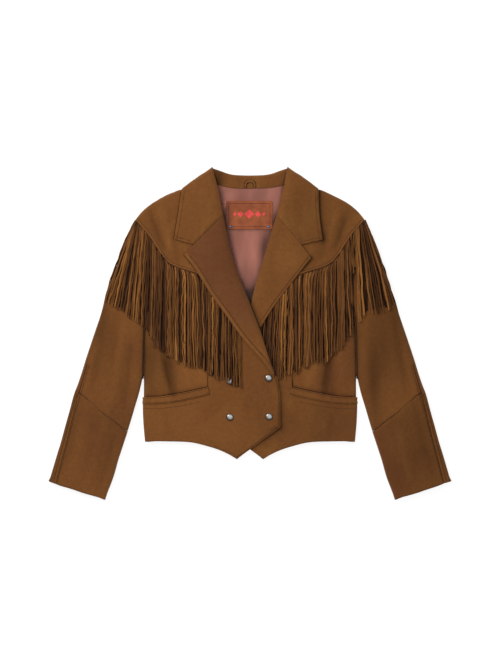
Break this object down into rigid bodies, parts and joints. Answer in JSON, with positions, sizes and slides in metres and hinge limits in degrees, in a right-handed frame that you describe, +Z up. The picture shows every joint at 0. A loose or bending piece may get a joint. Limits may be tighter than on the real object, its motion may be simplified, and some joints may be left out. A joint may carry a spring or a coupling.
{
  "type": "fringed suede jacket",
  "caption": "Cropped double-breasted suede jacket laid flat, with notched lapels, a curved yoke edged with long cut fringe, welt pockets and a pointed front hem.",
  "frame": {"origin": "centre of the outline on the surface that the jacket lies on", "axes": "+X towards the wearer's left arm, +Y towards the collar, +Z up off the surface; the jacket lies on its back"},
  "size_m": [0.8404, 0.6952, 0.0202],
  "materials": {
    "suede": "napped brown suede, dull, with lighter and darker brushed patches",
    "suede_turned": "napped brown suede of the collar and lapels",
    "fringe_suede": "cut suede strands, dull",
    "satin": "rose-brown satin lining with a soft sheen",
    "label_leather": "smooth tan leather patch",
    "rivet_metal": "bluish silver rivet",
    "snap_metal": "polished silver snap cap"
  },
  "bodies": {
    "root": {"back": "suede", "neck_lining": "satin", "collar_stand": "suede", "neck_label": "label_leather", "label_rivet_1": "rivet_metal", "label_rivet_2": "rivet_metal", "hanger_loop": "suede", "snap_upper_outer": "snap_metal", "snap_lower_outer": "snap_metal", "snap_upper_inner": "snap_metal", "snap_lower_inner": "snap_metal", "yoke_right": "suede", "side_front_right": "suede", "front_right": "suede", "upper_sleeve_right": "suede", "forearm_right": "suede", "forearm_back_right": "suede", "pocket_welt_right": "suede", "lapel_right": "suede_turned", "collar_right": "suede_turned", "fringe_right": "fringe_suede", "yoke_left": "suede", "side_front_left": "suede", "front_left": "suede", "upper_sleeve_left": "suede", "forearm_left": "suede", "forearm_back_left": "suede", "pocket_welt_left": "suede", "lapel_left": "suede_turned", "collar_left": "suede_turned", "fringe_left": "fringe_suede"}
  },
  "joints": []
}
